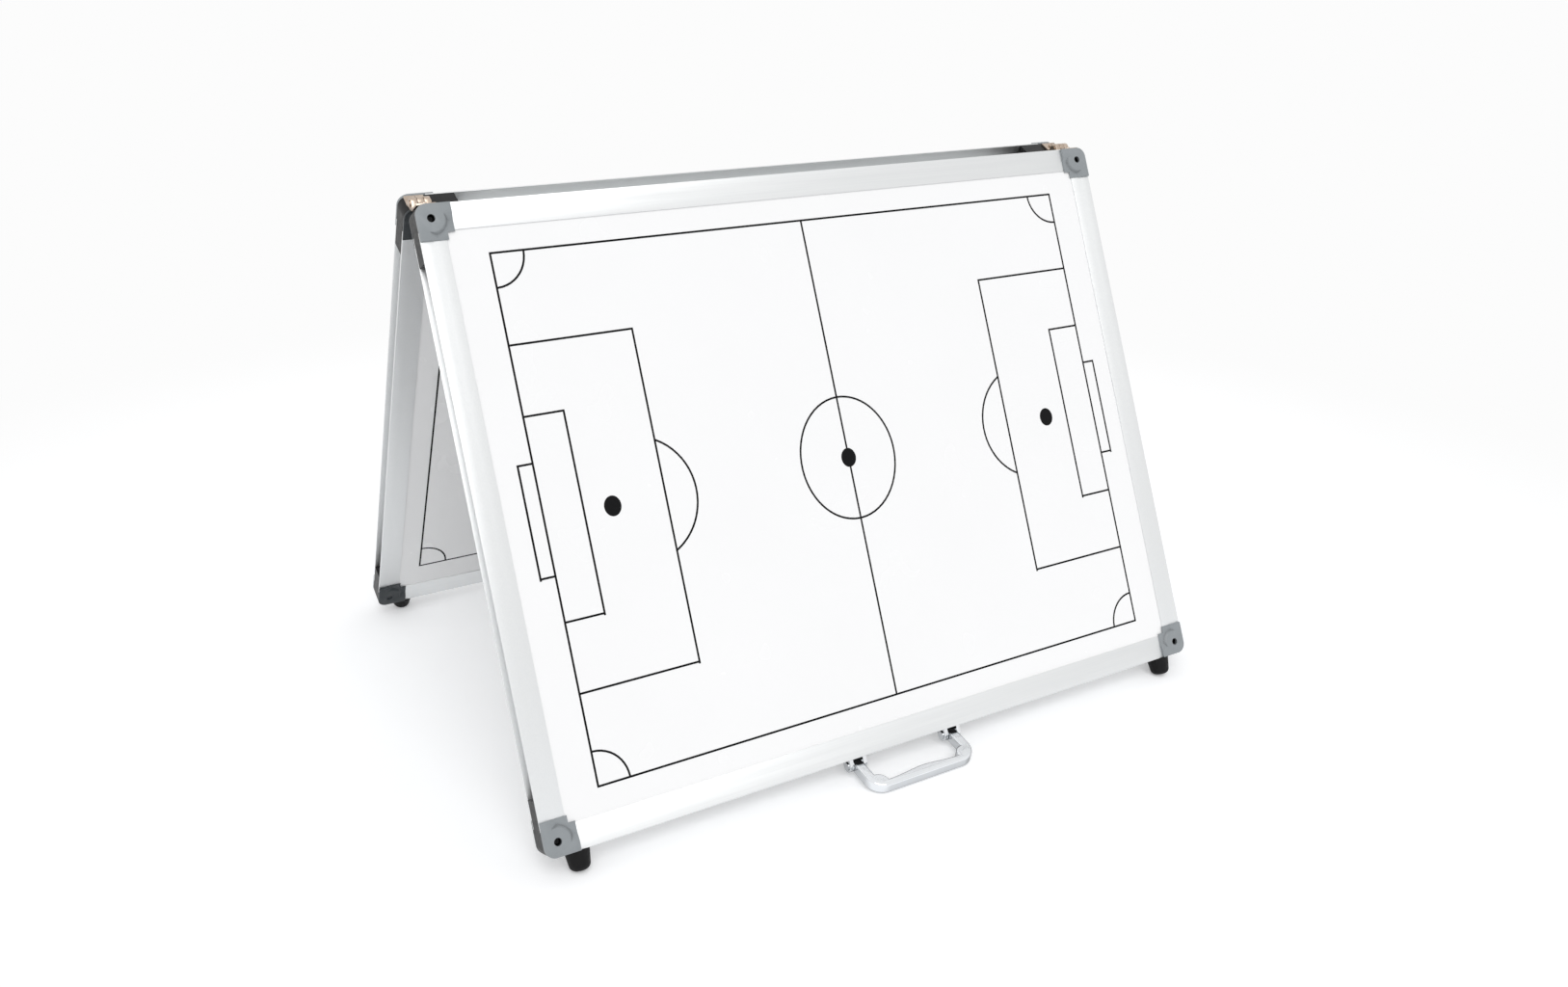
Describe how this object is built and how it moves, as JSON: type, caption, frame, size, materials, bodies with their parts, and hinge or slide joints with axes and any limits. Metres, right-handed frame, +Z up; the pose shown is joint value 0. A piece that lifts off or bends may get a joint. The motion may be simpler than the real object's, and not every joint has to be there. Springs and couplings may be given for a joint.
{
  "type": "magnetic tactics board",
  "caption": "Folding magnetic tactics board with a printed football pitch: framed steel panels hinged at the top stand as a tent and close into a case with a swing handle.",
  "frame": {"origin": "on the floor under the middle of the whole board, as it stands open with its handle out", "axes": "+X along the hinged top edge to the right as seen from the front, +Y from the front board to the rear board, +Z up"},
  "size_m": [0.6, 0.4632, 0.4241],
  "materials": {
    "enamelled_steel": "gloss white enamel",
    "printing_ink": "black screen print",
    "honeycomb_board": "card honeycomb, hidden",
    "anodised_aluminium": "satin silver anodised",
    "grey_plastic": "satin moulded",
    "black_plastic": "moulded",
    "black_rubber": "smooth moulded rubber",
    "plated_brass": "pale brass plated",
    "chromed_steel": "bright chrome",
    "blackened_steel": "black oxide"
  },
  "bodies": {
    "front_board": {"front_cap_bottom_left": "grey_plastic", "front_cap_bottom_right": "grey_plastic", "front_cap_screws": "blackened_steel", "front_cap_top_left": "grey_plastic", "front_cap_top_right": "grey_plastic", "front_core": "honeycomb_board", "front_foot_left": "black_rubber", "front_foot_right": "black_rubber", "front_foot_screws": "blackened_steel", "front_frame_bottom": "anodised_aluminium", "front_frame_left": "anodised_aluminium", "front_frame_right": "anodised_aluminium", "front_frame_top": "anodised_aluminium", "front_inner_print": "printing_ink", "front_inner_sheet": "enamelled_steel", "front_key_bottom_left": "black_plastic", "front_key_bottom_right": "black_plastic", "front_key_top_left": "black_plastic", "front_key_top_right": "black_plastic", "front_outer_print": "printing_ink", "front_outer_sheet": "enamelled_steel", "handle_bracket_left": "chromed_steel", "handle_bracket_right": "chromed_steel", "handle_pin_left": "chromed_steel", "handle_pin_right": "chromed_steel", "handle_screws": "blackened_steel", "handle_seat_left": "black_plastic", "handle_seat_right": "black_plastic", "hinge_leaf_front_left": "plated_brass", "hinge_leaf_front_right": "plated_brass", "hinge_pin_left": "plated_brass", "hinge_pin_right": "plated_brass", "hinge_screws_front": "plated_brass"},
    "rear_board": {"hinge_leaf_rear_left": "plated_brass", "hinge_leaf_rear_right": "plated_brass", "hinge_screws_rear": "plated_brass", "rear_cap_bottom_left": "grey_plastic", "rear_cap_bottom_right": "grey_plastic", "rear_cap_screws": "blackened_steel", "rear_cap_top_left": "grey_plastic", "rear_cap_top_right": "grey_plastic", "rear_core": "honeycomb_board", "rear_foot_left": "black_rubber", "rear_foot_right": "black_rubber", "rear_foot_screws": "blackened_steel", "rear_frame_bottom": "anodised_aluminium", "rear_frame_left": "anodised_aluminium", "rear_frame_right": "anodised_aluminium", "rear_frame_top": "anodised_aluminium", "rear_inner_print": "printing_ink", "rear_inner_sheet": "enamelled_steel", "rear_key_bottom_left": "black_plastic", "rear_key_bottom_right": "black_plastic", "rear_key_top_left": "black_plastic", "rear_key_top_right": "black_plastic", "rear_outer_print": "printing_ink", "rear_outer_sheet": "enamelled_steel"},
    "handle": {"handle_bail": "chromed_steel"}
  },
  "joints": [
    {"name": "board_fold", "type": "hinge", "parent": "front_board", "child": "rear_board", "pos_m": [0, 0.01148, 0.41987], "axis": [1, 0, 0], "range_deg": [-52, 128]},
    {"name": "handle_swing", "type": "hinge", "parent": "front_board", "child": "handle", "pos_m": [0, -0.19906, 0.00964], "axis": [1, 0, 0], "range_deg": [-35.2, 144.8]}
  ]
}
